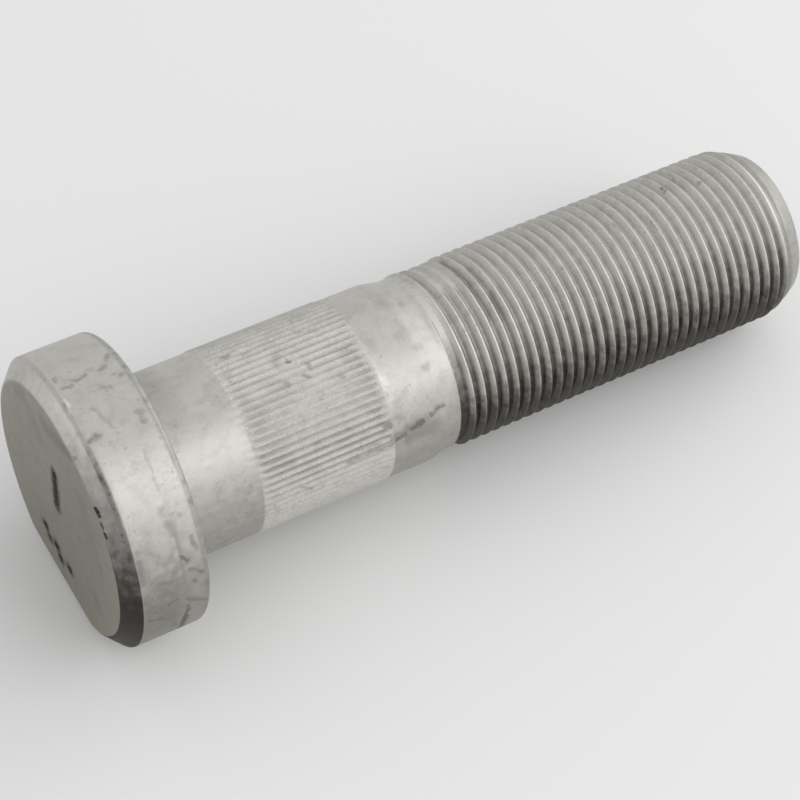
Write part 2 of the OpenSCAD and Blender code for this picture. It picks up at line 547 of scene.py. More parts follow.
def bridge_open_rings(bm, low, high):
    """Bridges the two open rings that lie between two stations."""
    reach = 10 * NEAR
    rings = [e for e in bm.edges if e.is_boundary and low - reach < e.verts[0].co.x / MM < high + reach]
    bmesh.ops.bridge_loops(bm, edges=rings)
    print("bridged", len(rings), "open edges between stations", round(low, 2), "and", round(high, 2))


def join_stud():
    """The whole stud as one closed bmesh."""
    bm = bmesh.new()
    add_mesh(bm, spun_mesh("head_and_shank", section))
    bmesh.ops.remove_doubles(bm, verts=bm.verts, dist=MERGE_WITHIN * MM)
    head_shape(bm, face_corner[0][1], fillet[0][1])
    cut_knurl(bm)
    punch_face(bm)
    press_dents(bm, RIM_DENTS, HEAD_R)
    press_dents(bm, SHANK_DENTS, SHANK_R)
    press_dents(thread, CREST_NICKS, THREAD_R)
    thread_mesh = bpy.data.meshes.new("thread")
    thread.to_mesh(thread_mesh)
    add_mesh(bm, thread_mesh)
    add_mesh(bm, spun_mesh("thread_end", end_section(), steps=THREAD_STEPS))
    bmesh.ops.remove_doubles(bm, verts=bm.verts, dist=MERGE_WITHIN * MM)
    bridge_open_rings(bm, section[-1][0], THREAD_START)
    bridge_open_rings(bm, SMOOTH_LEAD_FROM, end_section()[0][0])
    bmesh.ops.recalc_face_normals(bm, faces=bm.faces)
    return bm


stud_bm = join_stud()
print("open edges:", sum(not e.is_manifold for e in stud_bm.edges))

# %% [markdown]
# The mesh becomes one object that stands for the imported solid. It is smooth shaded: every edge has
# its own small bend, so no edge needs to be marked sharp.

# %% The stud's object
def finish_stud(bm):
    for face in bm.faces:
        face.smooth = True
    mesh = bpy.data.meshes.new("wheel_stud")
    bm.to_mesh(mesh)
    triangles = sum(len(f.verts) - 2 for f in bm.faces)
    print("triangles:", triangles, "volume in mm3:", round(bm.calc_volume() / MM ** 3, 1))
    stud = bpy.data.objects.new("wheel_stud", mesh)
    bpy.context.scene.collection.objects.link(stud)
    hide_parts("stud")
    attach(stud, "root")
    return stud


stud = finish_stud(stud_bm)

# %% [markdown]
# The stud's finish is a thin coat of zinc flakes, a satin grey with fine grain, and handling has left
# flecks, scratches and dark residue in it. A painted image could show them, but it would need a UV
# map and would blur close up. So it is built from nodes: a place on the stud, the coat's own pattern
# and a single stroke are node groups with named inputs and outputs. They are fed from Object
# coordinates, so that everything keeps its place on the part from any side.

# %% Helpers for node groups
def new_group(name, inputs, outputs):
    """An empty group; inputs are (name, kind, value) and outputs are (name, kind)."""
    tree = bpy.data.node_groups.new(name, "ShaderNodeTree")
    for socket_name, kind, value in inputs:
        socket = tree.interface.new_socket(socket_name, in_out="INPUT", socket_type="NodeSocket" + kind)
        socket.default_value = value
    for socket_name, kind in outputs:
        tree.interface.new_socket(socket_name, in_out="OUTPUT", socket_type="NodeSocket" + kind)
    return tree, tree.nodes.new("NodeGroupInput").outputs, tree.nodes.new("NodeGroupOutput").inputs


def feed(tree, source, socket):
    """Feeds a socket from another socket, or sets it to a plain value."""
    if isinstance(source, bpy.types.NodeSocket):
        tree.links.new(source, socket)
    else:
        socket.default_value = source


def limited(tree, value):
    """A value kept between 0 and 1, by a node of its own: a ticked box would fill the shader's memory."""
    node = tree.nodes.new("ShaderNodeClamp")
    feed(tree, value, node.inputs["Value"])
    return node.outputs["Result"]


def maths(tree, operation, *values, clamp=False):
    node = tree.nodes.new("ShaderNodeMath")
    node.operation = operation
    for value, socket in zip(values, node.inputs):
        feed(tree, value, socket)
    return limited(tree, node.outputs[0]) if clamp else node.outputs[0]


def vector_maths(tree, operation, *values):
    node = tree.nodes.new("ShaderNodeVectorMath")
    node.operation = operation
    for value, socket in zip(values, node.inputs):
        feed(tree, value, socket)
    return node.outputs["Value" if operation in ("DOT_PRODUCT", "LENGTH", "DISTANCE") else "Vector"]


def scaled(tree, vector, factor):
    node = tree.nodes.new("ShaderNodeVectorMath")
    node.operation = "SCALE"
    feed(tree, vector, node.inputs["Vector"])
    feed(tree, factor, node.inputs["Scale"])
    return node.outputs["Vector"]


def step_mask(tree, value, low, high):
    """0 below low, 1 above high and eased between them; high may lie below low."""
    node = tree.nodes.new("ShaderNodeMapRange")
    node.interpolation_type, node.clamp = "SMOOTHSTEP", False
    # the node wants its two ends in rising order
    ends = (low, high, 0, 1) if low < high else (high, low, 1, 0)
    for name, number in zip(("From Min", "From Max", "To Min", "To Max"), ends):
        node.inputs[name].default_value = number
    feed(tree, value, node.inputs["Value"])
    return node.outputs["Result"]


def noise_value(tree, place, scale, detail=3.0, roughness=0.5, distortion=0.0):
    node = tree.nodes.new("ShaderNodeTexNoise")
    feed(tree, place, node.inputs["Vector"])
    node.inputs["Scale"].default_value = scale
    node.inputs["Detail"].default_value = detail
    node.inputs["Roughness"].default_value = roughness
    node.inputs["Distortion"].default_value = distortion
    return node.outputs["Fac"]


def use_group(tree, group, **values):
    """Places a group in a tree; each value is a socket or a number, named after the group's input."""
    node = tree.nodes.new("ShaderNodeGroup")
    node.node_tree = group
    for name, value in values.items():
        feed(tree, value, node.inputs[name.replace("_", " ")])
    return node.outputs


print("node groups so far:", len(bpy.data.node_groups))

# %% [markdown]
# Marks on a turned part are easiest to place by their station along the axis, their angle round it
# and their distance from it. This group turns Object coordinates into those three numbers, in
# millimetres and degrees. The angle is 0 at the top and grows towards the camera's side. Dirt has
# ragged edges, so the group also gives an angle and a place that slow noise has pushed about.

# %% Node group: where on the stud
WOBBLE_SCALE = 0.9
RAGGED_BY_DEG = 36.0
RAGGED_BY_MM = 1.1


def make_place_group():
    tree, _, out = new_group("where on the stud", [], [
        ("Place", "Vector"), ("Bent place", "Vector"), ("Station", "Float"), ("Radius", "Float"),
        ("Around", "Float"), ("Ragged around", "Float")])
    coordinates = tree.nodes.new("ShaderNodeTexCoord").outputs["Object"]
    place = scaled(tree, coordinates, 1 / MM)
    parts = tree.nodes.new("ShaderNodeSeparateXYZ")
    feed(tree, place, parts.inputs[0])
    sideways = maths(tree, "MULTIPLY", parts.outputs["Y"], -1.0)
    around = maths(tree, "DEGREES", maths(tree, "ARCTAN2", sideways, parts.outputs["Z"]))
    off_axis = vector_maths(tree, "MULTIPLY", place, (0, 1, 1))
    feed(tree, place, out["Place"])
    feed(tree, parts.outputs["X"], out["Station"])
    feed(tree, vector_maths(tree, "LENGTH", off_axis), out["Radius"])
    feed(tree, around, out["Around"])

    wobble = tree.nodes.new("ShaderNodeTexNoise")
    wobble.inputs["Scale"].default_value = WOBBLE_SCALE
    feed(tree, place, wobble.inputs["Vector"])
    turned = maths(tree, "SUBTRACT", wobble.outputs["Fac"], 0.5)
    feed(tree, maths(tree, "MULTIPLY_ADD", turned, RAGGED_BY_DEG, around), out["Ragged around"])
    bend = vector_maths(tree, "SUBTRACT", wobble.outputs["Color"], (0.5, 0.5, 0.5))
    feed(tree, vector_maths(tree, "ADD", place, scaled(tree, bend, RAGGED_BY_MM)), out["Bent place"])
    return tree


PLACE_GROUP = make_place_group()
print("made", PLACE_GROUP.name)

# %% [markdown]
# A zinc flake coat isn't even: it has soft clouds a few millimetres wide, a fine grain, small dark
# flecks where something has rubbed it, and thin curly scuffs from other studs in the same box. The
# flecks and the scuffs gather in loose groups, so slow noise decides where they are. A scuff is the
# line along which a twisted noise passes through its middle value.

# %% Node group: coat
# noise scales, in waves for each millimetre
CLOUDS_SCALE, BLOTCHES_SCALE, GRAIN_SCALE = 0.35, 0.62, 4.5
GATHERING_SCALE, FLECKS_SCALE, CURLS_SCALE = 0.16, 1.15, 0.55
FLECKS_ABOVE, FLECKS_CRISPNESS = 0.86, 12.0
SCUFF_TWIST, SCUFF_CRISPNESS = 1.6, 38.0


def make_coat_group():
    tree, given, out = new_group(
        "zinc flake coat", [("Place", "Vector", (0, 0, 0)), ("Fleck amount", "Float", 0.5)],
        [(name, "Float") for name in ("Clouds", "Grain", "Flecks", "Scuffs", "Blotches")])
    place = given["Place"]
    feed(tree, noise_value(tree, place, CLOUDS_SCALE, 3.0), out["Clouds"])
    feed(tree, noise_value(tree, place, GRAIN_SCALE, 2.0, 0.6), out["Grain"])
    blotches = noise_value(tree, place, BLOTCHES_SCALE, 4.0, 0.65)
    feed(tree, step_mask(tree, blotches, 0.46, 0.66), out["Blotches"])

    groups = noise_value(tree, place, GATHERING_SCALE, 2.0)
    spots = noise_value(tree, place, FLECKS_SCALE, 4.0, 0.62)
    amount = maths(tree, "MULTIPLY_ADD", groups, 0.35, maths(tree, "MULTIPLY", given["Fleck amount"], 0.12))
    flecks = maths(tree, "SUBTRACT", maths(tree, "ADD", spots, amount), FLECKS_ABOVE)
    feed(tree, maths(tree, "MULTIPLY", flecks, FLECKS_CRISPNESS, clamp=True), out["Flecks"])

    curls = noise_value(tree, place, CURLS_SCALE, 3.0, 0.55, distortion=SCUFF_TWIST)
    off_line = maths(tree, "ABSOLUTE", maths(tree, "SUBTRACT", curls, 0.5))
    lines = maths(tree, "MULTIPLY_ADD", off_line, -SCUFF_CRISPNESS, 1.0, clamp=True)
    feed(tree, maths(tree, "MULTIPLY", lines, step_mask(tree, groups, 0.46, 0.62)), out["Scuffs"])
    return tree


COAT_GROUP = make_coat_group()
print("made", COAT_GROUP.name)

# %% [markdown]
# A scratch or a scuff is a short stroke between two points on the surface. The group measures how far
# a place is from the stroke. It gets a place that noise has bent, so the stroke's edge is ragged. A
# stroke that starts close to where it ends is a spot. A stud has many strokes, so the group is kept
# small, with few steps for each of them.

# %% Node group: stroke
# in half widths from the stroke's middle line
FULL_WITHIN = 0.533
GONE_BEYOND = 1.867


def make_stroke_group():
    tree, given, out = new_group(
        "ragged stroke",
        [("Place", "Vector", (0, 0, 0)), ("Start", "Vector", (0, 0, 0)), ("End", "Vector", (0, 0, 0)),
         ("Half width", "Float", 0.2), ("Strength", "Float", 1.0)], [("Mask", "Float")])
    run = vector_maths(tree, "SUBTRACT", given["End"], given["Start"])
    away = vector_maths(tree, "SUBTRACT", given["Place"], given["Start"])
    squared_length = vector_maths(tree, "DOT_PRODUCT", run, run)
    share_per_mm = scaled(tree, run, maths(tree, "DIVIDE", 1.0, squared_length))
    along = limited(tree, vector_maths(tree, "DOT_PRODUCT", away, share_per_mm))
    fade = tree.nodes.new("ShaderNodeMapRange")
    fade.clamp = False
    feed(tree, vector_maths(tree, "DISTANCE", away, scaled(tree, run, along)), fade.inputs["Value"])
    feed(tree, maths(tree, "MULTIPLY", given["Half width"], FULL_WITHIN), fade.inputs["From Min"])
    feed(tree, maths(tree, "MULTIPLY", given["Half width"], GONE_BEYOND), fade.inputs["From Max"])
    feed(tree, given["Strength"], fade.inputs["To Min"])
    feed(tree, 0.0, fade.inputs["To Max"])
    feed(tree, maths(tree, "MINIMUM", fade.outputs["Result"], given["Strength"]), out["Mask"])
    return tree


STROKE_GROUP = make_stroke_group()
print("made", STROKE_GROUP.name)

# %% [markdown]
# The head has the most handling marks, because it is what knocks against other studs. Each is placed from
# (station, angle) to (station, angle), then comes half its width in millimetres and its strength. They were
# placed one by one, where the real stud shows them.

# %% Marks on the head
HEAD_MARKS = [
    (2.6, -9.5, 3.3, -9.5, 0.28, 0.4), (3.9, -11.5, 5.4, -11.5, 0.24, 0.42),
    (5.6, -13.5, 6.5, -13.5, 0.2, 0.25), (7.2, -11.5, 7.9, -13, 0.28, 0.35), (8.6, -16.5, 9, -18, 0.3, 0.4),
    (6.2, -3, 7, -2, 0.3, 0.3), (8.9, -5.5, 9.1, -5.5, 0.25, 0.35), (2.1, -14, 2.3, -16, 0.25, 0.3),
    (1.9, 15, 3.2, 13.8, 0.26, 0.5), (3.9, 3, 5, 13, 0.22, 0.22), (8.3, 12, 8.8, 12, 0.2, 0.3),
    (2.3, 62, 2.3, 71, 0.42, 0.42), (2.4, 91.5, 5.5, 97.2, 0.26, 0.65), (2.1, 85.6, 3.4, 87.8, 0.24, 0.6),
    (3.4, 87.8, 4.8, 87.3, 0.24, 0.6), (4.8, 87.3, 5.9, 85, 0.26, 0.65), (3.3, 76, 3.8, 78, 0.3, 0.35),
    (4.4, 81, 5.6, 79.5, 0.2, 0.4), (7, 66.5, 7.9, 69.5, 0.26, 0.65), (7.8, 73.2, 9.4, 77.6, 0.26, 0.55),
    (7.1, 87.6, 9.6, 93.5, 0.34, 0.5), (7.35, 92.5, 7.05, 100, 0.3, 0.8), (7.05, 100, 7.2, 118, 0.4, 0.85),
    (6.9, 25, 6.8, 40, 0.12, 0.2), (8.1, 78.5, 8.2, 79.5, 0.3, 0.5), (6.6, 52, 6.8, 56, 0.4, 0.3),
    (6.3, 46.5, 6.4, 48.5, 0.4, 0.22), (2.8, 72, 3.2, 84, 0.9, 0.24), (3.6, 84, 4.6, 94, 1.3, 0.24),
    (2.8, 88, 3, 96, 0.6, 0.28), (8.2, 11, 8.4, 12.5, 0.3, 0.35), (8.4, 14.5, 8.6, 15.5, 0.26, 0.3),
    (9.7, 15.5, 9.8, 17.5, 0.28, 0.4), (9.8, 19, 9.8, 21.5, 0.3, 0.35), (9.6, 24.5, 9.7, 27, 0.28, 0.4),
    (9.9, -6, 10, -3.5, 0.3, 0.5), (4.2, 86, 4.9, 96, 0.22, 0.5), (8.6, 60, 8.9, 66, 0.24, 0.45),
    (5.6, 100, 6.4, 108, 0.3, 0.55)]
CHAMFER_EDGE_MARKS = [
    (0.19, 38.4, 0.22, 40.6, 0.29, 1.2), (0.12, 44.4, 0.16, 50.5, 0.2, 1.1),
    (0.25, 16, 0.25, 16.8, 0.25, 0.4)]
# on the face, (y, z) to (y, z), then half the width and the strength
FACE_SMUDGES = [
    (10.3, 9.6, 8.6, 11.2, 0.8, 0.24), (3.2, 12.2, -1, 13.6, 1, 0.3), (-1, 13.6, -3.3, 14.4, 0.7, 0.34),
    (6.7, 10, 4.5, 8, 1.2, 0.16), (-9.7, -6.8, -9.4, -6.2, 0.9, 0.2), (-6, 9.3, -9.3, 2.1, 1.2, 0.12)]
# these are light: the chamfer's streak is rubbed bright, and the spot on the rim's corner is a painted
# highlight
RUBBED_CHAMFER_MARKS = [(1.15, -6, 1.15, 17, 0.3, 0.4)]
PAINTED_HIGHLIGHT_CORNER_MARKS = [(1.7, -4, 1.75, 0.6, 0.22, 0.9)]
print("dark marks on the head:", len(HEAD_MARKS) + len(CHAMFER_EDGE_MARKS) + len(FACE_SMUDGES))

# %% [markdown]
# The knurl and the pilot have fewer marks, and most lie low on the camera's side. On the thread, dirt
# fills the nicks in its crests, and some of its first roots beside the flattened ridges.

# %% Marks on the shank and the thread
SHANK_MARKS = [
    (22.5, -19.2, 23, -19.8, 0.3, 0.42), (24.5, -15.5, 25.8, -16.5, 0.3, 0.35),
    (28.4, 2.5, 28.5, 3, 0.28, 0.6), (27, 14.5, 27.1, 16, 0.26, 0.32), (29.4, 14.8, 29.8, 16.2, 0.26, 0.45),
    (30.2, 8, 30.5, 12.5, 0.25, 0.35), (27.2, 0, 27.6, -3, 0.4, 0.25), (33, -12.3, 33.6, -12, 0.3, 0.35),
    (33.1, 23, 33.3, 24.5, 0.26, 0.3), (34, 8, 35.3, 8.2, 0.26, 0.3), (36.5, 60, 36.9, 62.5, 0.28, 0.5),
    (31, 74.4, 37.4, 74.8, 0.22, 0.42), (31.5, 70, 35.5, 69.8, 0.16, 0.35),
    (25, 78.5, 26.2, 84, 0.16, 0.35), (37.6, 73, 38.6, 71.8, 0.28, 0.65),
    (39.7, 69.3, 41, 68.5, 0.42, 0.75), (39, 70, 41.5, 69, 0.7, 0.3), (42.4, 66, 42.9, 65, 0.27, 0.55),
    (42.9, 65, 44, 63.2, 0.25, 0.65), (36.9, 69.9, 39.4, 69.2, 0.26, 0.35),
    (39.4, 73.5, 42.4, 74.5, 0.9, 0.32), (38.4, 59.5, 38.6, 60.5, 0.4, 0.24),
    (39, 47.5, 39.8, 46.8, 0.35, 0.16), (43.1, 37, 43.4, 36.8, 0.36, 0.26),
    (42.9, 24, 43.8, 23.8, 0.36, 0.16), (41.5, 12.8, 41.8, 13, 0.35, 0.12),
    (42.4, -14, 42.6, -8, 0.55, 0.16), (44.2, -7, 44.4, -6.5, 0.4, 0.22)]
THREAD_MARKS = [
    (81.9, -19, 81.6, -14.5, 0.32, 1.1), (73.6, -3, 73.7, 3, 0.3, 0.8), (77.3, 5, 77.4, 12, 0.28, 0.8),
    (53.2, 11.5, 53, 13.5, 0.34, 0.9), (86.2, -11.5, 86.6, -10, 0.32, 0.45)]
THREAD_ROOT_MARKS = [
    (52.95, -42, 53.11, -4, 0.4, 0.42), (53.11, -4, 53.2, 24, 0.4, 0.45), (54.55, -18, 54.65, 9, 0.4, 0.3),
    (54.65, 9, 54.73, 28, 0.42, 0.55), (56.15, 6, 56.2, 20, 0.4, 0.25)]
# these are rubbed bright
RUBBED_SHANK_MARKS = [(24.6, -21.5, 25, -20.5, 0.3, 0.6), (37.6, 33, 37.9, 36, 0.3, 0.2)]
print("dark marks on the rest:", len(SHANK_MARKS) + len(THREAD_MARKS) + len(THREAD_ROOT_MARKS))

# %% [markdown]
# A stroke is straight, so one that goes far round the stud would dive under the surface. It is cut
# into short pieces that stay close to it. Each list lies at the radius of its own surface, and where
# strokes overlap the strongest counts. The bar and the dots on the face are filled with residue, so
# they become strokes as well.

# %% Place the marks
LONGEST_PIECE_DEG = 9.0
PUNCHED_STATION = 0.1
BAR_DIRT_HALF_WIDTH, DOT_DIRT_HALF_WIDTH, PUNCHED_STRENGTH = 0.75, 0.72, 1.2
CHAMFER_EDGE_R = HEAD_R - FACE_CHAMFER_W + 0.15
CHAMFER_MIDDLE_R = HEAD_R - 0.75
THREAD_FLOOR_R = ROOT_R + 0.15


def placed_round(marks, radius):
    """Marks given by station and angle, as (start, end, half width, strength); long ones bend in pieces."""
    placed = []
    for first_x, first_angle, last_x, last_angle, half_width, strength in marks:
        pieces = math.ceil(abs(last_angle - first_angle) / LONGEST_PIECE_DEG) or 1
        ends = []
        for i in range(pieces + 1):
            share = i / pieces
            station = first_x + (last_x - first_x) * share
            ends.append(on_stud(station, first_angle + (last_angle - first_angle) * share, radius))
        placed += [(start, end, half_width, strength) for start, end in zip(ends, ends[1:])]
    return placed


def placed_on_face():
    """Smudges on the face, and the residue in its punched bar and dots."""
    bar = (*FACE_BAR[0], *FACE_BAR[1], BAR_DIRT_HALF_WIDTH, PUNCHED_STRENGTH)
    dots = [(y - 0.1, z, y + 0.1, z, DOT_DIRT_HALF_WIDTH, PUNCHED_STRENGTH) for y, z in FACE_DOTS]
    placed = []
    for first_y, first_z, last_y, last_z, half_width, strength in FACE_SMUDGES + [bar] + dots:
        start, end = (PUNCHED_STATION, first_y, first_z), (PUNCHED_STATION, last_y, last_z)
        placed.append((start, end, half_width, strength))
    return placed


DARK_MARKS = placed_on_face()
DARK_MARKS += placed_round(HEAD_MARKS, HEAD_R)
DARK_MARKS += placed_round(CHAMFER_EDGE_MARKS, CHAMFER_EDGE_R)
DARK_MARKS += placed_round(SHANK_MARKS, SHANK_R)
DARK_MARKS += placed_round(THREAD_MARKS, THREAD_R)
DARK_MARKS += placed_round(THREAD_ROOT_MARKS, THREAD_FLOOR_R)
RUBBED_AND_HIGHLIGHT_MARKS = placed_round(RUBBED_CHAMFER_MARKS, CHAMFER_MIDDLE_R)
# the painted highlight on the rim's corner
RUBBED_AND_HIGHLIGHT_MARKS += placed_round(PAINTED_HIGHLIGHT_CORNER_MARKS, HEAD_R)
RUBBED_AND_HIGHLIGHT_MARKS += placed_round(RUBBED_SHANK_MARKS, SHANK_R)
print("dark strokes:", len(DARK_MARKS), "rubbed strokes:", len(RUBBED_AND_HIGHLIGHT_MARKS))

# %% [markdown]
# Film, grime, wear and painted light and shade lie in bands, each with a stretch along the stud's axis and a
# stretch round it. A band is four numbers: where it starts, where it is full, where it is last full and where
# it is gone. Masks are multiplied where all of them have to hold, and the strongest one counts where several
# kinds of dirt and painted shade meet.

# %% Masks
KNURL_STATIONS = (KNURL_START, KNURL_START + 0.3, KNURL_END - 0.3, KNURL_END)
THREAD_STATIONS = (THREAD_START - 0.1, THREAD_START + 0.1, LEAD_START, SMOOTH_LEAD_FROM)


def product(tree, *values):
    """Masks and numbers multiplied together."""
    result = values[0]
    for value in values[1:]:
        result = maths(tree, "MULTIPLY", result, value)
    return result


def strongest(tree, *masks):
    """The highest of several masks at each place."""
    result = masks[0]
    for mask in masks[1:]:
        result = maths(tree, "MAXIMUM", result, mask)
    return result


def between(tree, mask, at_none, at_full):
    """A value that goes from one number to another as the mask goes from 0 to 1."""
    return maths(tree, "MULTIPLY_ADD", mask, at_full - at_none, at_none)


def band(tree, value, start, full, last, gone):
    """Rises from start to full, stays, and falls from last to gone."""
    return product(tree, step_mask(tree, value, start, full), step_mask(tree, value, gone, last))


def strokes(tree, place, marks):
    """The strongest of many strokes at each place."""
    masks = []
    for start, end, half_width, strength in marks:
        stroke = use_group(
            tree, STROKE_GROUP, Place=place, Start=start, End=end, Half_width=half_width, Strength=strength)
        masks.append(stroke["Mask"])
    return strongest(tree, 0.0, *masks)


def knurl_mask(tree, where):
    return band(tree, where["Station"], *KNURL_STATIONS)


def thread_mask(tree, where):
    """1 along the thread, without the smooth end of its lead."""
    return band(tree, where["Station"], *THREAD_STATIONS)


def chamfer_mask(tree, where):
    """1 on the face's chamfer."""
    inner_r = HEAD_R - FACE_CHAMFER_W
    outside_face = step_mask(tree, where["Radius"], inner_r - 0.3, inner_r - 0.12)
    before_rim = step_mask(tree, where["Station"], FACE_CHAMFER_H + 0.16, FACE_CHAMFER_H)
    return product(tree, outside_face, before_rim)


print("knurl from", KNURL_STATIONS[0], "to", KNURL_STATIONS[-1], "thread from", THREAD_STATIONS[0])

# %% [markdown]
# Where a part has stood in a tray it carries a dull film, and on the head's outer face that film is also
# painted shade, as the face is turned from the light. Painted shade also darkens the near, lower side of the
# stud. The lower corner of its face has picked up black grime, and thin lines of it stay along the chamfer's
# two edges. Grime low on the rim is partly painted shade of that lower side. The dark line on the rounded
# back edge is painted shade that dulls the edge's highlight, and the dark line behind the line on the rim,
# where the forging's flash was trimmed off, is painted shade of that seam.

# %% Film, grime and painted shade on the head and the near side
TRIM_STATION = 6.8
OUTER_LINE_STATIONS = [FACE_CHAMFER_H + step for step in (-0.6, -0.4, -0.15, 0.1)]
TRIM_LINE_STATIONS = [TRIM_STATION + step for step in (-0.1, 0.12, 0.2, 0.9)]
RIM_STATIONS = (FACE_CHAMFER_H, FACE_CHAMFER_H + 0.2, HEAD_T - 0.6, HEAD_T - 0.2)
# stations of the painted shade on the rounded back edge
BACK_EDGE_STATIONS = (HEAD_T - BACK_EDGE_R - 0.4, HEAD_T - BACK_EDGE_R + 0.1, HEAD_T, HEAD_T + 0.3)
# the same four steps round the stud, in degrees
CHAMFER_GRIME_ANGLES = (10, 88, 125, 150)
OUTER_LINE_ANGLES = (-45, -20, 125, 150)
INNER_LINE_ANGLES = (40, 66, 125, 150)
RIM_GRIME_AND_SHADE_ANGLES = (52, 88, 100, 150)
TRIM_LINE_ANGLES = (40, 62, 125, 150)
# angles and strength of the painted shade low on the near side
LOW_SHADE_ANGLES = (50, 95, 130, 165)
LOW_SHADE_STRENGTH = 0.36


def face_film_and_shade(tree, where, coat):
    """A dull film on the head's outer face, which is also painted shade, thinner towards its edge and uneven.
    """
    face_r = HEAD_R - FACE_CHAMFER_W
    inside_edge = step_mask(tree, where["Radius"], face_r + 0.15, face_r - 0.45)
    at_face = step_mask(tree, where["Station"], 0.6, 0.1)
    weight = between(tree, step_mask(tree, where["Radius"], face_r - 0.15, 9.0), 0.7, 0.8)
    return product(tree, inside_edge, at_face, maths(tree, "MULTIPLY_ADD", coat["Clouds"], 0.4, weight))


def low_side_painted_shade(tree, where):
    """Painted shade low on the near side, with a warm tint; the knurl's teeth and the lead stay free of it.
    """
    off_knurl = between(tree, knurl_mask(tree, where), 1, 0)
    before_lead = step_mask(tree, where["Station"], SMOOTH_LEAD_FROM, LEAD_START + 1)
    low_down = band(tree, where["Ragged around"], *LOW_SHADE_ANGLES)
    return product(tree, off_knurl, before_lead, LOW_SHADE_STRENGTH, low_down)


def chamfer_grime(tree, where, coat):
    """Grime on the face's chamfer: all over it low down, and in a broken line along each of its edges."""
    spread_out = band(tree, where["Ragged around"], *CHAMFER_GRIME_ANGLES)
    near_rim = band(tree, where["Station"], *OUTER_LINE_STATIONS)
    heavier_low_down = between(tree, step_mask(tree, where["Around"], 8, 42), 0.35, 1)
    outer = product(tree, near_rim, heavier_low_down, band(tree, where["Ragged around"], *OUTER_LINE_ANGLES))
    near_face = step_mask(tree, where["Station"], 0.42, 0.12)
    inner = product(tree, near_face, band(tree, where["Ragged around"], *INNER_LINE_ANGLES), 0.85)
    broken_lines = product(tree, strongest(tree, outer, inner), between(tree, coat["Blotches"], 0.55, 1.05))
    return product(tree, strongest(tree, spread_out, broken_lines), chamfer_mask(tree, where))


def rim_grime_and_shade(tree, where):
    """Grime and painted shade low on the head's rim, heavier towards the face, and painted shade behind its
    trim line.
    """
    heavier_near_face = between(tree, step_mask(tree, where["Station"], 8.5, 5.5), 0.2, 0.41)
    on_rim = product(tree, band(tree, where["Station"], *RIM_STATIONS), heavier_near_face)
    # grime and painted shade low on the rim
    spread_out = product(tree, on_rim, band(tree, where["Ragged around"], *RIM_GRIME_AND_SHADE_ANGLES))
    # painted shade of the trim seam, which the mesh lacks
    behind_trim = band(tree, where["Station"], *TRIM_LINE_STATIONS)
    trim = product(tree, behind_trim, band(tree, where["Ragged around"], *TRIM_LINE_ANGLES), 0.3)
    return strongest(tree, spread_out, trim)


def back_edge_painted_shade(tree, where, coat):
    """Thin, uneven painted shade on the rounded back edge of the head, which dulls its highlight."""
    on_edge = band(tree, where["Station"], *BACK_EDGE_STATIONS)
    return product(tree, on_edge, between(tree, coat["Blotches"], 0.3, 0.44))


print("trim line at station", TRIM_STATION)

# %% [markdown]
# Dark residue of the rolling oil stays in the thread, most of it on the near, lower side: high up it only
# fills the roots, and low down it covers the crests as well. In the thread this darkening is partly painted
# shade, in the roots and on the lower side where shade falls. The knurl's grooves hold just a little residue.
# How deep a place lies in a groove is read from its distance to the axis.

# %% Residue in the knurl, and residue and painted shade in the thread
KNURL_RESIDUE_ANGLES = (45, 62, 72, 84)


def knurl_residue(tree, where):
    """A little residue in the knurl's grooves, and more of it low on the near side."""
    depth = step_mask(tree, where["Radius"], TOOTH_TOP_R - 0.12, TOOTH_TOP_R - 0.36)
    amount = between(tree, band(tree, where["Ragged around"], *KNURL_RESIDUE_ANGLES), 0.13, 0.33)
    return product(tree, depth, amount, knurl_mask(tree, where))


def thread_residue_and_shade(tree, where, coat):
    """Residue and painted shade in the thread: it fills the roots high up and covers the crests only low
    down.
    """
    # darker in the roots and low down: residue, and painted shade where shade falls
    depth = step_mask(tree, where["Radius"], THREAD_R - 0.12, ROOT_R + 0.2)
    in_roots = product(tree, depth, between(tree, step_mask(tree, where["Ragged around"], -2, 90), 0.05, 1))
    on_crests = product(tree, step_mask(tree, where["Ragged around"], 51, 95), 0.88)
    far_side_clean = step_mask(tree, where["Ragged around"], 170, 130)
    uneven = between(tree, coat["Blotches"], 0.93, 1.01)
    amount = product(tree, strongest(tree, in_roots, on_crests), far_side_clean, uneven)
    return product(tree, amount, thread_mask(tree, where))


print("residue is deepest below a radius of", round(ROOT_R + 0.2, 2))

# %% [markdown]
# The coat isn't equally light everywhere, and most of its stretches are painted light and shade. Painted
# light lies on the stud's top, on the knurl's low side, over the thread's top and near side where the key
# lamp's highlight falls, just under that highlight on the rim, shank, pilot and taper, beside the trim line
# and on the lead's near side. Painted shade lies on the knurl's far side, on the lead, on the pilot where the
# key lamp's highlight falls, and on the shank behind the head, where the head's shadow falls. The top of the
# face's chamfer is lighter and the flattened ridges are darker. Each stretch is a factor on the coat's grey,
# so they multiply into one.

# %% Lighter and darker stretches of the coat, most of them painted light and shade
LEAD_STATIONS = (LEAD_START + 0.6, SMOOTH_LEAD_FROM, STUD_LEN + 1, STUD_LEN + 2)
BEFORE_KNURL = (FACE_CHAMFER_H, 7, KNURL_START, KNURL_START + 0.3)
PAST_KNURL = (KNURL_END - 0.3, KNURL_END, TAPER_END, THREAD_START)
BEHIND_HEAD = (HEAD_T, HEAD_T + 1.6, HEAD_T + 3.0, HEAD_T + 6.5)
BEFORE_TRIM = (TRIM_STATION - 0.7, TRIM_STATION - 0.3, TRIM_STATION - 0.15, TRIM_STATION)
PILOT_STATIONS = (KNURL_END - 0.2, KNURL_END + 0.6, PILOT_END, TAPER_END)
FLATTENED_RIDGES = (48, 49.5, 52.2, 53)
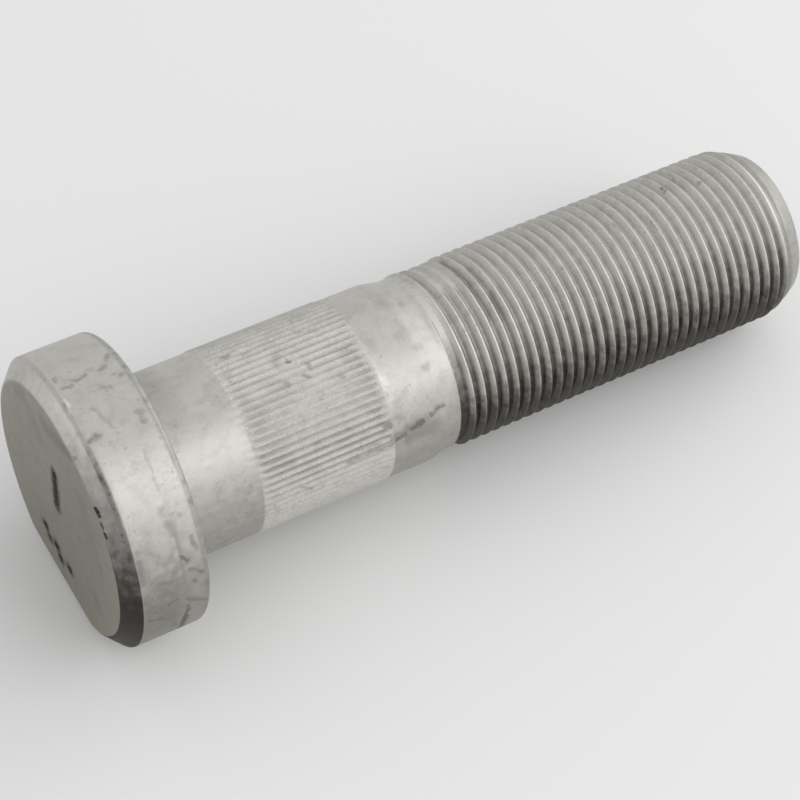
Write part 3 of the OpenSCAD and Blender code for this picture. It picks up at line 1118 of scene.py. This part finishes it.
# what it is, its stations or None for all, its angles or None for all, and the change of tone
RAGGED_STRETCHES = [
    # painted light on the stud's top
    ("top of the stud", None, (-150, -60, -8, 22), 0.08),
    ("knurl", KNURL_STATIONS, None, 0.035),
    # painted light on the knurl's low side, where its teeth catch light
    ("knurl, low side", KNURL_STATIONS, (66, 92, 115, 150), 0.14),
    # painted shade on the knurl's far side
    ("knurl, far side", KNURL_STATIONS, (-150, -70, -45, -18), -0.1),
    # painted highlight over the thread's top and near side, strongest where the key lamp's highlight falls
    ("thread, near side", THREAD_STATIONS, (-50, 30, 50, 80), 0.2),
    # painted light just under the key lamp's highlight, on the rim and shank here and on the pilot and taper
    # below
    ("rim and shank, near side", BEFORE_KNURL, (38, 50, 60, 76), 0.07),
    ("pilot and taper, near side", PAST_KNURL, (38, 50, 60, 76), 0.07),
    # painted shadow of the head on the shank
    ("shank behind the head", BEHIND_HEAD, (-110, -50, -8, 28), -0.16),
    # painted light beside the trim seam, which the mesh lacks
    ("rim before the trim line", BEFORE_TRIM, (45, 68, 125, 150), 0.05),
    # painted shade on the lead, against the side lamp's light
    ("smooth lead", LEAD_STATIONS, None, -0.3),
    # painted light on the lead's near side
    ("smooth lead, near side", LEAD_STATIONS, (40, 66, 110, 150), 0.22)]
EVEN_STRETCHES = [
    # painted shade over the key lamp's highlight on the pilot
    ("pilot, in the key lamp's light", PILOT_STATIONS, (16, 27, 34, 46), -0.05),
    ("flattened ridges", FLATTENED_RIDGES, (-100, -70, -10, 8), -0.13)]
TOP_CHAMFER_ANGLES = (-45, -12, 5, 30)
TOP_CHAMFER_CHANGE = 0.18


def lightened(tree, tone, mask, change):
    """The tone, changed by a share where the mask is 1."""
    return product(tree, tone, maths(tree, "MULTIPLY_ADD", mask, change, 1.0))


def with_stretches(tree, tone, where, angle_name, stretches):
    """The tone with a list of stretches, whose angles are read from the place's output of that name."""
    for _, stations, angles, change in stretches:
        bands = []
        if stations:
            bands.append(band(tree, where["Station"], *stations))
        if angles:
            bands.append(band(tree, where[angle_name], *angles))
        tone = lightened(tree, tone, product(tree, *bands), change)
    return tone


def with_all_stretches(tree, tone, where):
    tone = with_stretches(tree, tone, where, "Ragged around", RAGGED_STRETCHES)
    tone = with_stretches(tree, tone, where, "Around", EVEN_STRETCHES)
    top = band(tree, where["Ragged around"], *TOP_CHAMFER_ANGLES)
    return lightened(tree, tone, product(tree, chamfer_mask(tree, where), top), TOP_CHAMFER_CHANGE)


print("stretches:", len(RAGGED_STRETCHES) + len(EVEN_STRETCHES) + 1)

# %% [markdown]
# The coat is a slightly warm grey. Its tone is one number, which is worked out first, and only then becomes a
# colour. Film and painted shade multiply the colour, and rubbing, a painted highlight, dirt and painted shade
# are mixed into it.

# %% Colours
COAT_GREY = (1.0, 0.98, 0.918)
# the light colour of rubbed marks and of a painted highlight
RUBBED_AND_HIGHLIGHT = (0.72, 0.70, 0.66, 1)
# the dark colour of dirt and of painted shade
DIRT_AND_SHADE = (0.024, 0.021, 0.016, 1)
# the warm tint of the face's film and of painted shade
FILM_AND_SHADE_TINT = (0.59, 0.555, 0.508, 1)


def mixed(tree, factor, first, second, blend="MIX"):
    node = tree.nodes.new("ShaderNodeMix")
    node.data_type, node.blend_type = "RGBA", blend
    first_socket, second_socket = [socket for socket in node.inputs if socket.type == "RGBA"]
    feed(tree, factor, node.inputs["Factor"])
    feed(tree, first, first_socket)
    feed(tree, second, second_socket)
    return next(socket for socket in node.outputs if socket.type == "RGBA")


def coat_colour(tree, tone):
    node = tree.nodes.new("ShaderNodeCombineColor")
    for name, share in zip(("Red", "Green", "Blue"), COAT_GREY):
        feed(tree, product(tree, tone, share), node.inputs[name])
    return node.outputs["Color"]


print("coat's grey:", COAT_GREY)

# %% [markdown]
# The material puts it together: the coat's tone is scaled by its clouds and grain, the colour is thinned by
# film and painted shade, lightened by rubbed marks and a painted highlight, and mixed towards black by grime,
# residue, marks and painted shade. Metal flakes make it mostly metallic, less so on the knurl, whose rolled
# teeth scatter the light, and least where dirt or painted shade covers it. Only the fine grain gives a bump,
# because every real form but the rim's trim seam is in the mesh; that seam's light and shade are painted.

# %% Coating
COAT_SPECULAR = 0.2
GRAIN_HEIGHT = 0.02 * MM
DARKEST_TONE = 0.392
FLECKS_STRENGTH, SCUFFS_STRENGTH = 0.24, 0.16


def coat_tone(tree, where, coat):
    """How light the coat is at each place, with its stretches of painted light and shade, before film and
    dirt.
    """
    tone = maths(tree, "MULTIPLY_ADD", coat["Clouds"], 0.09, DARKEST_TONE)
    tone = maths(tree, "MULTIPLY_ADD", coat["Grain"], 0.07, tone)
    tone = lightened(tree, tone, coat["Blotches"], -0.09)
    rough_places = maths(tree, "MULTIPLY_ADD", thread_mask(tree, where), 0.6, knurl_mask(tree, where))
    speckle = product(tree, maths(tree, "SUBTRACT", coat["Grain"], 0.5), rough_places)
    tone = lightened(tree, tone, speckle, 0.4)
    return with_all_stretches(tree, tone, where)


def all_dirt_and_shade(tree, where, coat):
    """How much of the coat dirt and painted shade cover at each place, of whatever kind."""
    broken_up = maths(tree, "MULTIPLY_ADD", coat["Grain"], 1.3, 0.25, clamp=True)
    marks = product(tree, strokes(tree, where["Bent place"], DARK_MARKS), broken_up)
    return strongest(
        tree, thread_residue_and_shade(tree, where, coat), chamfer_grime(tree, where, coat),
        back_edge_painted_shade(tree, where, coat), rim_grime_and_shade(tree, where), knurl_residue(tree, where),
        product(tree, coat["Flecks"], FLECKS_STRENGTH), product(tree, coat["Scuffs"], SCUFFS_STRENGTH), marks)


def make_coating():
    material = bpy.data.materials.new("zinc_flake_coat")
    material.use_nodes = True
    tree = material.node_tree
    shader = tree.nodes["Principled BSDF"]
    where = use_group(tree, PLACE_GROUP)
    coat = use_group(tree, COAT_GROUP, Place=where["Place"])

    colour = coat_colour(tree, coat_tone(tree, where, coat))
    # film on the face, partly painted shade, and painted shade low on the near side
    film_and_shade = strongest(tree, face_film_and_shade(tree, where, coat), low_side_painted_shade(tree, where))
    colour = mixed(tree, film_and_shade, colour, FILM_AND_SHADE_TINT, "MULTIPLY")
    # rubbed marks and a painted highlight on the rim's corner
    colour = mixed(tree, strokes(tree, where["Bent place"], RUBBED_AND_HIGHLIGHT_MARKS), colour, RUBBED_AND_HIGHLIGHT)
    # dirt, residue, marks and painted shade, mixed towards a dark colour
    dirt_and_shade = all_dirt_and_shade(tree, where, coat)
    feed(tree, mixed(tree, dirt_and_shade, colour, DIRT_AND_SHADE), shader.inputs["Base Color"])
    shader.inputs["Specular IOR Level"].default_value = COAT_SPECULAR

    knurl = knurl_mask(tree, where)
    rough = maths(tree, "MULTIPLY_ADD", coat["Clouds"], 0.1, 0.44)
    rough = maths(tree, "MULTIPLY_ADD", knurl, 0.15, rough)
    rough = maths(tree, "MULTIPLY_ADD", thread_mask(tree, where), 0.04, rough)
    feed(tree, rough, shader.inputs["Roughness"])
    metal = product(tree, between(tree, knurl, 0.8, 0.45), between(tree, dirt_and_shade, 1.0, 0.3))
    feed(tree, metal, shader.inputs["Metallic"])

    bump = tree.nodes.new("ShaderNodeBump")
    bump.inputs["Distance"].default_value = GRAIN_HEIGHT
    bump.inputs["Strength"].default_value = 0.5
    feed(tree, coat["Grain"], bump.inputs["Height"])
    feed(tree, bump.outputs["Normal"], shader.inputs["Normal"])
    print("nodes in the coating:", len(tree.nodes))
    return material


stud.data.materials.append(make_coating())

# %% [markdown]
# The stud rests on the back edge of its head's flat side and on the end of its thread, so the floor
# leans a little against the stud's axis. The floor is turned and not the stud, which has to stay in
# the frame where the solid lies.

# %% Floor
REST_HEAD = (HEAD_T - BACK_EDGE_R, -FLAT_DIST)
REST_THREAD = (LEAD_START, -THREAD_R)
FLOOR_HALF = 3.0
FLOOR_GREY = (0.72, 0.72, 0.72, 1)


def make_floor():
    lean = math.atan2(REST_THREAD[1] - REST_HEAD[1], REST_THREAD[0] - REST_HEAD[0])
    bm = bmesh.new()
    bmesh.ops.create_grid(bm, x_segments=1, y_segments=1, size=FLOOR_HALF)
    place = Matrix.Translation(Vector((REST_HEAD[0], 0, REST_HEAD[1])) * MM)
    bmesh.ops.transform(bm, matrix=place @ Matrix.Rotation(-lean, 4, "Y"), verts=bm.verts)
    mesh = bpy.data.meshes.new("floor")
    bm.to_mesh(mesh)
    bm.free()
    floor = bpy.data.objects.new("floor", mesh)
    bpy.context.scene.collection.objects.link(floor)
    mesh.materials.append(make_floor_material())
    print("floor leans by", round(math.degrees(lean), 2), "degrees")


def make_floor_material():
    material = bpy.data.materials.new("floor")
    material.use_nodes = True
    shader = material.node_tree.nodes["Principled BSDF"]
    shader.inputs["Base Color"].default_value = FLOOR_GREY
    shader.inputs["Roughness"].default_value = 1.0
    shader.inputs["Specular IOR Level"].default_value = 0.0
    return material


make_floor()

# %% [markdown]
# Two soft square lamps light the stud. The key lamp stands above the camera's side, and its
# reflection makes the light band along the shank. The side lamp stands past the threaded end and
# picks out the flanks of the thread. The world is a plain white room, so the coat stays pale. A
# picture of a bright room could light it all at once, but its lights couldn't be moved one by one.

# %% Light
SKY_STRENGTH = 0.82


def area_light(name, toward, distance, size, power):
    """A square soft light that faces the middle of the stud from a direction."""
    data = bpy.data.lights.new(name, "AREA")
    data.shape, data.size, data.energy = "SQUARE", size, power
    light = bpy.data.objects.new(name, data)
    direction = Vector(toward).normalized()
    middle = Vector((stud_length / 2, 0, 0))
    light.location = middle + direction * distance
    light.rotation_euler = (-direction).to_track_quat("-Z", "Y").to_euler()
    bpy.context.scene.collection.objects.link(light)
    print(name, "lamp at", [round(v, 2) for v in light.location])


def make_world():
    world = bpy.data.worlds.new("world")
    bpy.context.scene.world = world
    world.use_nodes = True
    sky = world.node_tree.nodes["Background"]
    sky.inputs["Color"].default_value = (1, 1, 1, 1)
    sky.inputs["Strength"].default_value = SKY_STRENGTH


area_light("key", toward=(0.355, -0.60, 0.72), distance=0.8, size=0.52, power=1.8)
area_light("side", toward=(0.92, 0.0, 0.4), distance=0.9, size=0.9, power=4.0)
make_world()
bpy.context.scene.view_settings.view_transform = "Standard"
